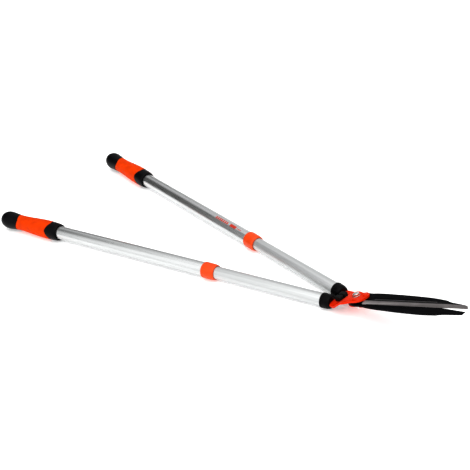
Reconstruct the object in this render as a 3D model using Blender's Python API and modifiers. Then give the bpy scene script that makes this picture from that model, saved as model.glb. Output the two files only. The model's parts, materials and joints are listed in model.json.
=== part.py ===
"""Telescopic hedge shears: two steel blades on painted tangs, two telescoping aluminium handles.

Metres, +Z up.  The shears lie as on a bench, handles level and blades rising to the front (+X).  The
right handle (-Y) carries the top blade and the left handle (+Y) the bottom one.  Bodies and joints:
  right_half  top blade, top tang, right socket and inner tube, pivot fastener (root)
  left_half   bottom blade, bottom tang, left socket and inner tube; turns on the pivot
  *_grip      outer tube, collet and grip; slides on the inner tube
  *_collar    locking nut; turns on the outer tube
"""

from math import asin, atan2, cos, hypot, pi, radians, sin

import bmesh
import bpy
from mathutils import Matrix, Vector

MM = 0.001
GAP = 0.3 * MM  # clearance between neighbouring pieces

# Attitude of the two halves
HANDLE_SPLAY = radians(9.4)  # each handle's angle to the centre line
BLADE_RISE = radians(15.7)  # blade plane over the plane of the handles
CROSSING = 39.4 * MM  # where the handle axes cross, ahead of the pivot
PIVOT_HEIGHT = 13.2 * MM  # blade interface over the handle axes, at the pivot

# Blades and tangs
BLADE_T = 3.0 * MM
TANG_T = 3.0 * MM
BLADE_REACH = 207.0 * MM
EDGE_SLOPE = 0.078  # cutting edge's rise towards the tip, in plan
EDGE_CROSSING = 167.0 * MM  # where the two cutting edges cross at rest
EDGE_WIDTH = 6.2 * MM  # ground bevel
EDGE_LAND = 0.4 * MM  # thickness left at the cutting edge
HEEL_R = 15.5 * MM
JOGGLE = (14.0 * MM, 40.0 * MM)  # the tang bends between these distances behind the pivot
BUFFER_AT = -34.5 * MM
BUFFER_SIZE = (13.0 * MM, 8.5 * MM, 14.0 * MM)
BUFFER_FACE = 1.1 * MM  # from the centre line to each buffer's meeting face
BUFFER_WALL = 1.6 * MM  # rubber left between that face and the slot for the tang
RIVETS = ((14.5 * MM, 4.0 * MM), (4.0 * MM, -10.8 * MM))  # for the top blade
RIVET_R = 2.4 * MM
RIVET_HEAD_R = 3.6 * MM
RIVET_HEAD_H = 1.3 * MM

# Pivot fastener, M6
BOLT_R = 3.0 * MM
BUSH_R = 4.6 * MM
HEX_FLATS = 10.0 * MM
HEAD_H = 3.4 * MM
NUT_H = 5.0 * MM
WASHER_R = 6.2 * MM
WASHER_T = 0.8 * MM
SPRING_DISH = 0.5 * MM
SHANK_SHOWS = 1.2 * MM  # past the nut

# Handle tubes: radii, and distances along the handle from where the axes cross
INNER_R = 11.0 * MM
OUTER_R = 12.7 * MM
WALL = 1.0 * MM
SOCKET_FRONT = 83.0 * MM
SOCKET_REAR = 100.0 * MM
SOCKET_PLUG = 118.0 * MM
SOCKET_R = 12.4 * MM
SPIKE_END = 134.0 * MM
SPIKE_HALF = 6.6 * MM
SHOULDER_HALF = 9.4 * MM  # the tang's outer shoulder, just ahead of the socket
SCREW_AT = 93.0 * MM
SCREW_R = 1.9 * MM
SCREW_HEAD_R = 3.5 * MM
SCREW_SEAT_R = 3.9 * MM
SCREW_TIP = 5.5 * MM  # past the handle's axis
SCREW_DEPTH = 1.4 * MM  # of the head's seat
INNER_FRONT = 86.5 * MM
INNER_REAR = 398.0 * MM
COLLAR_FRONT = 309.4 * MM
COLLAR_REAR = 335.6 * MM
COLLAR_R = 14.2 * MM
COLLET_R = 12.8 * MM
OUTER_FRONT = 323.0 * MM
PLUG_R = INNER_R - WALL - GAP  # what fits inside the inner tube
GRIP_FRONT = 685.0 * MM
GRIP_BULGE = 30.0 * MM  # the widest place, behind the front rim
TUBE_IN_GRIP = 76.0 * MM

# Grip outline: distance behind its front rim, and radius
GRIP_PROFILE = (
    (0.0, 14.5),
    (1.2, 15.3),
    (6.0, 16.3),
    (16.0, 17.0),
    (30.0, 17.3),
    (44.0, 17.2),
    (58.0, 16.6),
    (72.0, 15.8),
    (88.0, 14.9),
    (102.0, 14.5),
    (112.0, 14.7),
    (121.0, 15.4),
    (130.0, 16.3),
    (138.0, 16.9),
    (144.0, 16.6),
    (150.0, 15.0),
    (154.5, 12.5),
    (157.2, 9.4),
    (158.0, 7.0),
)
SLEEVE_T = 1.5 * MM
SLEEVE_FRONT = (21.0, 28.0)  # the sleeve's front edge behind the rim: least and most, in mm
SLEEVE_REAR = (108.0, 115.0)
FRONT_POINT = radians(62.0)  # one of the front edge's three notches, from the top towards -Y
REAR_POINT = radians(45.0)  # one of the rear edge's two notches
GRIP_R = max(radius for _, radius in GRIP_PROFILE) * MM
LEAN = atan2(GRIP_R - SOCKET_R, GRIP_FRONT + GRIP_BULGE - SOCKET_REAR)  # until the sockets rest too
TURNS = 24  # facets round a turned piece
SMALL_TURNS = 16  # and round a rivet or a screw

MATERIALS = {
    "blade_black": ((0.012, 0.012, 0.014), 0.38, 0.6),
    "tang_orange": ((0.80, 0.075, 0.008), 0.35, 0.0),
    "steel": ((0.62, 0.61, 0.58), 0.28, 1.0),
    "aluminium": ((0.72, 0.73, 0.72), 0.32, 1.0),
    "plastic_black": ((0.013, 0.013, 0.015), 0.42, 0.0),
    "collar_orange": ((0.85, 0.095, 0.008), 0.38, 0.0),
    "grip_orange": ((0.85, 0.085, 0.008), 0.62, 0.0),
    "rubber_black": ((0.014, 0.014, 0.014), 0.7, 0.0),
    "nylon": ((0.03, 0.03, 0.032), 0.5, 0.0),
}


# ---------------------------------------------------------------- scene helpers


def clear_scene():
    for old in list(bpy.data.objects):
        bpy.data.objects.remove(old)


def collection(name, hidden=False):
    made = bpy.data.collections.new(name)
    bpy.context.scene.collection.children.link(made)
    made.hide_render = hidden
    return made


def make_materials():
    made = {}
    for name, (colour, roughness, metallic) in MATERIALS.items():
        mat = bpy.data.materials.new(name)
        mat.use_nodes = True
        shader = mat.node_tree.nodes["Principled BSDF"]
        shader.inputs["Base Color"].default_value = (*colour, 1.0)
        shader.inputs["Roughness"].default_value = roughness
        shader.inputs["Metallic"].default_value = metallic
        mat.diffuse_color = (*colour, 1.0)
        made[name] = mat
    return made


def add_empty(name, parent=None, matrix=None):
    empty = bpy.data.objects.new(name, None)
    empty.empty_display_size = 0.02
    PARTS.objects.link(empty)
    empty.parent = parent
    empty.matrix_local = matrix or Matrix.Identity(4)
    return empty


def place(obj, parent, finish):
    """A finished piece goes in the part's collection, under its body, with its material."""
    PARTS.objects.link(obj)
    obj.parent = parent
    obj.data.materials.clear()
    obj.data.materials.append(PAINTS[finish])
    obj.data.shade_smooth()
    obj.data.set_sharp_from_angle(angle=radians(35))


def helper(obj, parent=None):
    """A cutter: it shapes other pieces and is no piece itself."""
    CUTTERS.objects.link(obj)
    obj.parent = parent
    obj.hide_render = True
    obj.display_type = "WIRE"
    return obj


def boolean(obj, other, operation="DIFFERENCE"):
    modifier = obj.modifiers.new(operation.title(), "BOOLEAN")
    modifier.operation = operation
    modifier.object = other
    modifier.solver = "EXACT"


# ---------------------------------------------------------------- shape helpers


def turned(name, profile, turns=TURNS):
    """A closed outline of (distance along +Z, radius) points, turned about Z."""
    mesh = bpy.data.meshes.new(name)
    points = [(radius, 0.0, along) for along, radius in profile]
    twice_area = sum(
        a[0] * b[2] - b[0] * a[2] for a, b in zip(points, points[1:] + points[:1])
    )
    if twice_area > 0:  # the outer side has to run from the top to the bottom
        points.reverse()
    count = len(points)
    edges = [  # all but the one along the axis
        (i, (i + 1) % count)
        for i in range(count)
        if points[i][0] > 0 or points[(i + 1) % count][0] > 0
    ]
    mesh.from_pydata(points, edges, [])
    obj = bpy.data.objects.new(name, mesh)
    screw = obj.modifiers.new("Screw", "SCREW")
    screw.axis = "Z"
    screw.steps = screw.render_steps = turns
    screw.use_merge_vertices = True
    screw.merge_threshold = 0.00001
    screw.use_smooth_shade = True
    return obj


def ring(name, front, rear, inner, outer):
    """A plain tube or disc."""
    return turned(name, ((front, inner), (front, outer), (rear, outer), (rear, inner)))


def meshed(obj):
    """The evaluated shape as a plain mesh object, its loose caps welded."""
    bpy.context.scene.collection.objects.link(obj)
    bpy.context.view_layer.update()
    evaluated = obj.evaluated_get(bpy.context.evaluated_depsgraph_get())
    mesh = bpy.data.meshes.new_from_object(evaluated)
    shape = bmesh.new()
    shape.from_mesh(mesh)
    bmesh.ops.remove_doubles(shape, verts=shape.verts, dist=0.000001)
    bmesh.ops.recalc_face_normals(shape, faces=shape.faces)
    shape.to_mesh(mesh)
    shape.free()
    name = obj.name
    matrix = obj.matrix_world.copy()
    bpy.data.objects.remove(obj)
    made = bpy.data.objects.new(name, mesh)
    made.matrix_world = matrix
    return made


def flat_plate(name, outline, low, high):
    """A flat outline of (x, y, handle type) knots, between two heights."""
    curve = bpy.data.curves.new(name, "CURVE")
    curve.dimensions = "2D"
    curve.fill_mode = "BOTH"
    curve.extrude = (high - low) / 2
    curve.resolution_u = 4
    spline = curve.splines.new("BEZIER")
    spline.bezier_points.add(len(outline) - 1)
    for knot, (x, y, kind) in zip(spline.bezier_points, outline):
        knot.co = (x, y, 0.0)
        knot.handle_left_type = knot.handle_right_type = kind
    spline.use_cyclic_u = True
    obj = bpy.data.objects.new(name, curve)
    obj.location.z = (low + high) / 2
    return settle(meshed(obj))


def settle(obj):
    """Moves the object's own transform into its mesh, so that its origin is the frame's."""
    obj.data.transform(obj.matrix_world)
    obj.matrix_world = Matrix.Identity(4)
    return obj


def rod(name, radius, low, high, at=(0.0, 0.0), vertices=24):
    shape = bmesh.new()
    middle = Matrix.Translation((at[0], at[1], (low + high) / 2))
    bmesh.ops.create_cone(
        shape,
        cap_ends=True,
        segments=vertices,
        radius1=radius,
        radius2=radius,
        depth=high - low,
        matrix=middle,
    )
    mesh = bpy.data.meshes.new(name)
    shape.to_mesh(mesh)
    shape.free()
    return bpy.data.objects.new(name, mesh)


def block(name, size, matrix=None):
    shape = bmesh.new()
    bmesh.ops.create_cube(shape, size=1.0, matrix=Matrix.Diagonal((*size, 1.0)))
    if matrix:
        bmesh.ops.transform(shape, matrix=matrix, verts=shape.verts)
    mesh = bpy.data.meshes.new(name)
    shape.to_mesh(mesh)
    shape.free()
    return bpy.data.objects.new(name, mesh)


def bevel_edges(obj, width, segments=2):
    modifier = obj.modifiers.new("Bevel", "BEVEL")
    modifier.width = width
    modifier.segments = segments
    modifier.limit_method = "ANGLE"
    modifier.angle_limit = radians(40)


# ---------------------------------------------------------------- frames

BLADE_FRAME = Matrix.Rotation(-BLADE_RISE, 4, "Y")


def handle_frame(side):
    """The handle's frame in the level frame at the pivot: +Z back along the handle, +X up."""
    back = Vector((-cos(HANDLE_SPLAY), side * sin(HANDLE_SPLAY), 0.0))
    up = Vector((0.0, 0.0, 1.0))
    across = back.cross(up)
    turn = Matrix((up, across, back)).transposed().to_4x4()
    return Matrix.Translation((CROSSING, 0.0, -PIVOT_HEIGHT)) @ turn


def handle_in_blade_frame(side):
    return BLADE_FRAME.inverted() @ handle_frame(side)


# ---------------------------------------------------------------- blades


def edge_y(x):
    """The top blade's cutting edge in plan."""
    return EDGE_SLOPE * (x - EDGE_CROSSING)


def blade_outline():
    """The top blade's outline, round from the pivot's heel along the back to the tip."""
    back = (
        (0.0, HEEL_R / MM),
        (20.0, 15.4),
        (30.0, 17.0),
        (70.0, 18.9),
        (110.0, 19.3),
        (142.0, 18.2),
    )
    knots = [(x * MM, y * MM, "AUTO") for x, y in back]
    knots += [
        (163.0 * MM, 15.6 * MM, "VECTOR"),
        (172.0 * MM, 12.4 * MM, "AUTO"),
        (181.0 * MM, 11.0 * MM, "AUTO"),
        (BLADE_REACH - 3.5 * MM, 8.0 * MM, "VECTOR"),
        (BLADE_REACH, edge_y(BLADE_REACH), "VECTOR"),
        (27.0 * MM, edge_y(27.0 * MM), "VECTOR"),
        (24.0 * MM, edge_y(24.0 * MM) - 1.2 * MM, "VECTOR"),
    ]
    for degrees in (-50, -90, -130, -180, -225):
        turn = radians(degrees)
        knots.append((HEEL_R * cos(turn), HEEL_R * sin(turn), "AUTO"))
    return knots


def blade_mesh():
    """One blade; the other is the same piece turned over."""
    low = GAP / 2
    high = low + BLADE_T
    blade = flat_plate("blade", blade_outline(), low, high)
    # The ground bevel: a wedge of the upper face goes, down to a thin land at the cutting edge.
    slope = atan2(BLADE_T - EDGE_LAND, EDGE_WIDTH)
    along = atan2(EDGE_SLOPE, 1.0)
    size = (BLADE_REACH, 4 * EDGE_WIDTH, 2 * BLADE_T)
    at_corner = Matrix.Translation((size[0] / 2, -size[1] / 2, size[2] / 2))
    tilt = Matrix.Rotation(slope, 4, "X")
    start = Vector((18.0 * MM, edge_y(18.0 * MM) + EDGE_WIDTH, high))
    cutter = block(
        "bevel_cutter",
        size,
        Matrix.Translation(start) @ Matrix.Rotation(along, 4, "Z") @ tilt @ at_corner,
    )
    boolean(blade, helper(cutter))
    boolean(blade, helper(rod("blade_bore", BUSH_R + GAP, -high, 2 * high)))
    for index, at in enumerate(RIVETS):
        hole = rod(
            f"blade_rivet_bore_{index}", RIVET_R + GAP, -high, 2 * high, at, SMALL_TURNS
        )
        boolean(blade, helper(hole))
    return meshed(blade)


def make_blades(halves):
    blade = blade_mesh()
    for name, side in (("blade_top", -1), ("blade_bottom", 1)):
        made = bpy.data.objects.new(name, blade.data)
        place(made, halves[side], "blade_black")
        made.rotation_euler.x = 0.0 if side < 0 else pi
    bpy.data.objects.remove(blade)


# ---------------------------------------------------------------- tangs


def spike_knot(side, along, across):
    """Corner of a tang's spike: distance along the handle, and outwards from its axis."""
    point = handle_in_blade_frame(side) @ Vector((0.0, side * across, along))
    return point.x, point.y, "VECTOR"


def slot_outline(side):
    """Plan of the slot that takes the spike, a little larger all round."""
    front = SOCKET_FRONT - 8 * MM
    rear = SPIKE_END + 8 * MM
    half = SPIKE_HALF + 0.5 * MM
    corners = ((rear, half), (front, half), (front, -half), (rear, -half))
    return [spike_knot(side, along, across) for along, across in corners]


def tang_outline(side):
    """Plan of a tang in the blade frame, for the handle on this side (-1 right, +1 left)."""

    def on_spike(along, across):
        return spike_knot(side, along, across)

    shoulder = SOCKET_FRONT - 1.0 * MM
    knots = [
        on_spike(SPIKE_END, SPIKE_HALF),
        on_spike(shoulder, SPIKE_HALF),
        on_spike(shoulder, SHOULDER_HALF),
    ]
    # Round the head plate: from the handle's outer side past the pivot to the lobe, and back inside.
    head = (
        (-27.0, -25.2, "AUTO"),
        (-13.0, -23.6, "AUTO"),
        (0.0, -17.6, "AUTO"),
        (14.0, -13.0, "AUTO"),
        (19.0, -7.4, "AUTO"),
        (21.2, 3.0, "AUTO"),
        (17.6, 10.4, "AUTO"),
        (11.6, 12.4, "AUTO"),
        (6.0, 10.3, "AUTO"),
        (-2.0, 12.6, "AUTO"),
        (-11.0, 11.4, "AUTO"),
        (-20.0, 3.0, "AUTO"),
        (-30.0, -4.8, "AUTO"),
    )
    knots += [(x * MM, -side * y * MM, kind) for x, y, kind in head]
    knots += [on_spike(shoulder, -SPIKE_HALF), on_spike(SPIKE_END, -SPIKE_HALF)]
    return knots


def smoothstep(value):
    value = min(1.0, max(0.0, value))
    return value * value * (3 - 2 * value)


def tang_height(x, side):
    """Middle height of a tang at x: flat over its blade, then bent in line with the handle."""
    layer = -side
    flat = layer * (GAP / 2 + BLADE_T + GAP + TANG_T / 2)
    frame = handle_in_blade_frame(side)
    start = frame @ Vector((0.0, 0.0, 0.0))
    end = frame @ Vector((0.0, 0.0, 1.0))
    on_axis = start.z + (x - start.x) / (end.x - start.x) * (end.z - start.z)
    share = smoothstep((-x - JOGGLE[0]) / (JOGGLE[1] - JOGGLE[0]))
    return flat + share * (on_axis - flat)


def tang_plate(name, side, outline, thickness):
    """A flat plate of this outline, bent as the tang is."""
    plate = flat_plate(name, outline, -thickness / 2, thickness / 2)
    shape = bmesh.new()
    shape.from_mesh(plate.data)
    first, last = JOGGLE
    bends = 7
    for index in range(bends + 1):
        x = -first - (last - first) * index / bends
        everything = shape.verts[:] + shape.edges[:] + shape.faces[:]
        bmesh.ops.bisect_plane(
            shape, geom=everything, plane_co=(x, 0, 0), plane_no=(1, 0, 0), dist=1e-7
        )
    for vert in shape.verts:
        vert.co.z += tang_height(vert.co.x, side)
    bmesh.ops.triangulate(shape, faces=shape.faces)
    shape.to_mesh(plate.data)
    shape.free()
    return plate


def make_tang(side, half, screw_bore):
    layer = -side
    name = "tang_top" if side < 0 else "tang_bottom"
    tang = tang_plate(name, side, tang_outline(side), TANG_T)
    place(tang, half, "tang_orange")
    reach = 20 * MM
    boolean(tang, helper(rod("tang_bore", BUSH_R + GAP, -reach, reach), half))
    for index, (x, y) in enumerate(RIVETS):
        at = (x, layer * y)
        hole = rod("tang_rivet_bore", RIVET_R + GAP, -reach, reach, at, SMALL_TURNS)
        boolean(tang, helper(hole, half))
        make_rivet(index, at, layer, half)
    boolean(tang, screw_bore)


def make_rivet(index, at, layer, half):
    """Domed head on the tang, shank through tang and blade, just short of the blade's inner face."""
    end = GAP
    seat = GAP / 2 + BLADE_T + GAP + TANG_T + GAP
    dome = [
        (seat + RIVET_HEAD_H * sin(turn), RIVET_HEAD_R * cos(turn))
        for turn in (0.0, radians(35), radians(65))
    ]
    profile = [(end, 0.0), (end, RIVET_R), (seat, RIVET_R), *dome]
    profile.append((seat + RIVET_HEAD_H, 0.0))
    name = ("tang_top" if layer > 0 else "tang_bottom") + f"_rivet_{index + 1}"
    rivet = turned(name, profile, SMALL_TURNS)
    place(rivet, half, "tang_orange")
    rivet.location = (*at, 0.0)
    rivet.rotation_euler.x = 0.0 if layer > 0 else pi


# ---------------------------------------------------------------- pivot fastener


def hexagon(name, low, high):
    return rod(name, HEX_FLATS / 2 / cos(pi / 6), low, high, vertices=6)


def make_pivot(half):
    """Bolt head and washer on top, a bush through the stack, a sprung washer and the nut below."""
    stack = GAP / 2 + BLADE_T + GAP + TANG_T
    bush = ring("pivot_bush", -stack, stack, BOLT_R + GAP, BUSH_R)
    place(bush, half, "steel")
    washer_low = stack + GAP
    washer = ring("bolt_washer", washer_low, washer_low + WASHER_T, BOLT_R + GAP, WASHER_R)
    place(washer, half, "steel")
    top = -stack - GAP
    spring = turned(
        "spring_washer",
        (
            (top, BOLT_R + GAP),
            (top - SPRING_DISH, WASHER_R),
            (top - SPRING_DISH - WASHER_T, WASHER_R),
            (top - WASHER_T, BOLT_R + GAP),
        ),
    )
    place(spring, half, "steel")
    nut_top = top - SPRING_DISH - WASHER_T - GAP
    nut = hexagon("pivot_nut", nut_top - NUT_H, nut_top)
    boolean(nut, helper(rod("nut_bore", BOLT_R + GAP, -30 * MM, 0.0), half))
    place(nut, half, "steel")
    head_low = washer_low + WASHER_T + GAP
    bolt = hexagon("pivot_bolt", head_low, head_low + HEAD_H)
    shank = rod("bolt_shank", BOLT_R, nut_top - NUT_H - SHANK_SHOWS, head_low + HEAD_H / 2)
    boolean(bolt, helper(shank, half), "UNION")
    place(bolt, half, "steel")


# ---------------------------------------------------------------- handles


def add_screw_cutters(handle):
    """The socket screw's hole across the handle from below, and the seat for its head."""
    downwards = Matrix.Translation((0, 0, SCREW_AT)) @ Matrix.Rotation(-pi / 2, 4, "Y")
    depth = SOCKET_R + 4 * MM
    tip = -SCREW_TIP - 0.5 * MM
    bore = rod(f"{handle.name}_screw_bore", SCREW_R + GAP, tip, depth, vertices=SMALL_TURNS)
    seat = rod(f"{handle.name}_screw_seat", SCREW_SEAT_R, SOCKET_R - SCREW_DEPTH, depth)
    for cutter in (bore, seat):
        cutter.data.transform(downwards)
        helper(cutter, handle)
    return bore, seat


def make_socket_screw(name, handle):
    """A pan-head screw from below, through socket, tube and tang."""
    head_out = SOCKET_R - 0.1 * MM
    head_in = SOCKET_R - SCREW_DEPTH + GAP
    profile = (
        (-SCREW_TIP, 0.0),
        (-SCREW_TIP, SCREW_R),
        (head_in, SCREW_R),
        (head_in, SCREW_HEAD_R),
        (head_out, SCREW_HEAD_R - 0.4 * MM),
        (head_out, 0.0),
    )
    screw = turned(name, profile, SMALL_TURNS)
    place(screw, handle, "steel")
    screw.location.z = SCREW_AT
    screw.rotation_euler.y = -pi / 2


def make_socket(name, handle, side, screw_cutters):
    """The ferrule that holds the tang in the inner tube, with a plug inside the tube."""
    lip = INNER_R + GAP
    profile = (
        (SOCKET_FRONT, 0.0),
        (SOCKET_FRONT, 9.4 * MM),
        (SOCKET_FRONT + 1.4 * MM, 10.8 * MM),
        (SOCKET_FRONT + 5.0 * MM, SOCKET_R - 0.5 * MM),
        (SOCKET_REAR - 1.0 * MM, SOCKET_R),
        (SOCKET_REAR, SOCKET_R - 0.5 * MM),
        (SOCKET_REAR, lip),
        (INNER_FRONT - GAP, lip),
        (INNER_FRONT - GAP, PLUG_R),
        (SOCKET_PLUG, PLUG_R),
        (SOCKET_PLUG, 0.0),
    )
    socket = turned(name, profile)
    place(socket, handle, "plastic_black")
    slot = tang_plate(f"{name}_slot", side, slot_outline(side), TANG_T + 4 * GAP)
    boolean(socket, helper(slot, handle.parent))
    for cutter in screw_cutters:
        boolean(socket, cutter)


def make_collet(name, handle):
    """Split ring at the outer tube's mouth; the collar squeezes its fingers onto the inner tube."""
    step = OUTER_FRONT - GAP
    nose = COLLAR_FRONT + 4.2 * MM
    profile = (
        (nose, INNER_R + GAP),
        (nose, INNER_R + 1.0 * MM),
        (nose + 4 * MM, COLLET_R),
        (step, COLLET_R),
        (step, INNER_R + GAP),
    )
    collet = turned(name, profile)
    place(collet, handle, "nylon")
    for index in range(2):
        slot = block(
            f"{name}_slot_{index}",
            (1.6 * MM, 40 * MM, 16 * MM),
            Matrix.Translation((0, 0, nose)) @ Matrix.Rotation(index * pi / 2, 4, "Z"),
        )
        boolean(collet, helper(slot, handle))


def make_collar(name, handle):
    """Twist-lock nut on the outer tube's mouth, its body tapering slightly to the front."""
    front = COLLAR_FRONT
    rear = COLLAR_REAR
    chamber = COLLET_R + GAP
    profile = (
        (front, INNER_R + 1.5 * GAP),
        (front, COLLAR_R - 1.9 * MM),
        (front + 1.2 * MM, COLLAR_R - 1.2 * MM),
        (front + 5.0 * MM, COLLAR_R - 0.5 * MM),
        (rear - 5.0 * MM, COLLAR_R),
        (rear - 2.0 * MM, COLLAR_R - 0.2 * MM),
        (rear, COLLAR_R - 0.8 * MM),
        (rear, OUTER_R + GAP),
        (OUTER_FRONT + 2.0 * MM, OUTER_R + GAP),
        (OUTER_FRONT, chamber),
        (front + 8.2 * MM, chamber),
        (front + 3.8 * MM, INNER_R + 1.5 * MM),
        (front + 3.8 * MM, INNER_R + 1.5 * GAP),
    )
    place(turned(name, profile), handle, "collar_orange")


def make_guide(name, handle):
    """Plug in the inner tube's rear end, its flange running in the outer tube."""
    flange = OUTER_R - WALL - GAP
    profile = (
        (INNER_REAR - 20 * MM, 0.0),
        (INNER_REAR - 20 * MM, PLUG_R),
        (INNER_REAR + GAP, PLUG_R),
        (INNER_REAR + GAP, flange),
        (INNER_REAR + 8 * MM, flange),
        (INNER_REAR + 9 * MM, flange - 1 * MM),
        (INNER_REAR + 9 * MM, 0.0),
    )
    place(turned(name, profile), handle, "nylon")


def grip_radius(behind):
    """Grip radius in millimetres at this distance in millimetres behind its rim."""
    for (a, low), (b, high) in zip(GRIP_PROFILE, GRIP_PROFILE[1:]):
        if behind <= b:
            return low + (high - low) * (behind - a) / (b - a)
    return GRIP_PROFILE[-1][1]


def between(limits, share):
    return limits[0] + (limits[1] - limits[0]) * share


def zigzag(turn):
    """A softened triangular wave: 1 at 0 and 0 at half a turn."""
    return 0.5 + asin(0.94 * cos(turn)) / (2 * asin(0.94))


def sleeve_band(name, inward, outward, longer):
    """The soft sleeve's band on the grip, its two edges waved; outward and longer make a cutter."""
    steps = 9
    stations = [index / (steps - 1) for index in range(steps)]
    front = sum(SLEEVE_FRONT) / 2
    rear = sum(SLEEVE_REAR) / 2
    outer = []
    for share in stations:
        behind = front + (rear - front) * share
        outer.append((behind * MM, grip_radius(behind) * MM))
    inner = [(along, radius - inward) for along, radius in reversed(outer)]
    outer = [(along, radius + outward) for along, radius in outer]
    band = meshed(turned(name, outer + inner))
    for vert in band.data.vertices:
        turn = atan2(-vert.co.y, vert.co.x)
        low = between(SLEEVE_FRONT, zigzag(3 * (turn - FRONT_POINT)))
        high = between(SLEEVE_REAR, 1 - zigzag(2 * (turn - REAR_POINT)))
        share = (vert.co.z / MM - front) / (rear - front)
        behind = low * MM - longer + share * ((high - low) * MM + 2 * longer)
        unwaved = grip_radius(vert.co.z / MM) * MM
        radius = hypot(vert.co.x, vert.co.y)
        moved = radius - unwaved + grip_radius(behind / MM) * MM
        vert.co.x *= moved / radius
        vert.co.y *= moved / radius
        vert.co.z = behind + GRIP_FRONT
    return band


def make_grip(side_name, handle):
    bore = OUTER_R + GAP
    outside = [(GRIP_FRONT + z * MM, r * MM) for z, r in GRIP_PROFILE]
    bottom = GRIP_FRONT + TUBE_IN_GRIP + GAP
    profile = [
        *outside,
        (outside[-1][0], 0.0),
        (bottom, 0.0),
        (bottom, bore),
        (GRIP_FRONT, bore),
    ]
    core = turned(f"{side_name}_grip_core", profile)
    place(core, handle, "plastic_black")
    recess = sleeve_band(f"{side_name}_grip_recess", SLEEVE_T + GAP, 3 * MM, GAP)
    boolean(core, helper(recess, handle))
    sleeve = sleeve_band(f"{side_name}_grip_sleeve", SLEEVE_T, 0.2 * MM, 0.0)
    place(sleeve, handle, "grip_orange")


def make_buffer(name, half, side):
    """Rubber block clipped on the tang's inner edge, where the two halves meet when closed."""
    long, wide, _ = BUFFER_SIZE
    block_at = (BUFFER_AT, side * (BUFFER_FACE + wide / 2), 0.0)
    buffer = block(name, BUFFER_SIZE, Matrix.Translation(block_at))
    place(buffer, half, "rubber_black")
    bevel_edges(buffer, 1.2 * MM)
    near = BUFFER_FACE + BUFFER_WALL
    far = near + 2 * wide
    corners = [
        (BUFFER_AT + along, side * across, "VECTOR")
        for along, across in ((-long, near), (long, near), (long, far), (-long, far))
    ]
    slot = tang_plate(f"{name}_slot", side, corners, TANG_T + 2 * GAP)
    boolean(buffer, helper(slot, half))


def make_handle(side_name, side, half):
    frame = handle_in_blade_frame(side)
    handle = add_empty(f"{side_name}_handle", half, frame)
    screw_cutters = add_screw_cutters(handle)
    screw_bore = screw_cutters[0]
    make_tang(side, half, screw_bore)
    make_socket(f"{side_name}_socket", handle, side, screw_cutters)
    make_socket_screw(f"{side_name}_socket_screw", handle)
    inner = ring(
        f"{side_name}_inner_tube", INNER_FRONT, INNER_REAR, INNER_R - WALL, INNER_R
    )
    place(inner, handle, "aluminium")
    boolean(inner, screw_bore)
    make_guide(f"{side_name}_guide_bush", handle)
    outer = ring(
        f"{side_name}_outer_tube",
        OUTER_FRONT,
        GRIP_FRONT + TUBE_IN_GRIP,
        OUTER_R - WALL,
        OUTER_R,
    )
    place(outer, handle, "aluminium")
    make_collet(f"{side_name}_collet", handle)
    make_collar(f"{side_name}_collar", handle)
    make_grip(side_name, handle)
    make_buffer(f"{side_name}_buffer", half, side)


# ---------------------------------------------------------------- the whole


def rest_on_floor(root):
    """Moves the shears so that the origin is under the middle of their box."""
    bpy.context.view_layer.update()
    graph = bpy.context.evaluated_depsgraph_get()
    points = []
    for piece in PARTS.objects:
        if piece.type != "EMPTY":
            evaluated = piece.evaluated_get(graph)
            points += [evaluated.matrix_world @ v.co for v in evaluated.data.vertices]
    low = Vector(map(min, zip(*points)))
    high = Vector(map(max, zip(*points)))
    root.location -= Vector(((low.x + high.x) / 2, (low.y + high.y) / 2, low.z))
    bpy.context.view_layer.update()


def build():
    root = add_empty("hedge_shears", matrix=Matrix.Rotation(LEAN, 4, "Y"))
    halves = {
        -1: add_empty("right_half", root, BLADE_FRAME),
        1: add_empty("left_half", root, BLADE_FRAME),
    }
    make_blades(halves)
    make_pivot(halves[-1])
    make_handle("right", -1, halves[-1])
    make_handle("left", 1, halves[1])
    rest_on_floor(root)


clear_scene()
PARTS = collection("hedge_shears_parts")
CUTTERS = collection("cutters", hidden=True)
PAINTS = make_materials()
build()
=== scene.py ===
"""Telescopic hedge shears in a plain studio: the finished shapes and materials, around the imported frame.

Metres, +X to the blade tips, +Z up.  Each handle has a local frame on its own axis (+Z back along the
handle, +X up), and the blades have one on the pivot (+Z through the blades, +X to the tips).
"""

import json
from math import asin, atan2, cos, hypot, pi, radians, sin, tan

import bmesh
import bpy
from mathutils import Matrix, Vector


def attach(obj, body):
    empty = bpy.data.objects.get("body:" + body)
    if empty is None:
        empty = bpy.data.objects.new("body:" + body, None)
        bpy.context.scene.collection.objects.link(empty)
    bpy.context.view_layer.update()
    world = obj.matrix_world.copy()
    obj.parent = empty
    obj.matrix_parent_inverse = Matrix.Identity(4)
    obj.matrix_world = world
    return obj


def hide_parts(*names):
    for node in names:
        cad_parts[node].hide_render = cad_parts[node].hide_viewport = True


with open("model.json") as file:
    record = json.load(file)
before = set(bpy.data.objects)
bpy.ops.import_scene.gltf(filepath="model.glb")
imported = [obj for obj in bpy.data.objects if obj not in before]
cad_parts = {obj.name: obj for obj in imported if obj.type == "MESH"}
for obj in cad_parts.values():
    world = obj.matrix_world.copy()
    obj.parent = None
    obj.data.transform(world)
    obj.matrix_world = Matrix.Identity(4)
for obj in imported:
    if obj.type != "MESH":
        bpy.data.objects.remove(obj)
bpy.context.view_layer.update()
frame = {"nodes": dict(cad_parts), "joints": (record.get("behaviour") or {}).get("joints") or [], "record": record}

MM = 0.001
RECORD = frame["record"]
JOINTS = {joint["name"]: joint for joint in frame["joints"]}
SLOT_OF = {part["node"]: part["material_slot"] for part in RECORD["subparts"]}
BODY_OF = {
    node: body for body, nodes in RECORD["behaviour"]["bodies"].items() for node in nodes
}
SIDES = ("right", "left")
LEVEL = {"right": "top", "left": "bottom"}  # which blade and tang each side carries
UP = {"right": 1, "left": -1}  # the way their outer faces look, along the blades' Z

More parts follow.
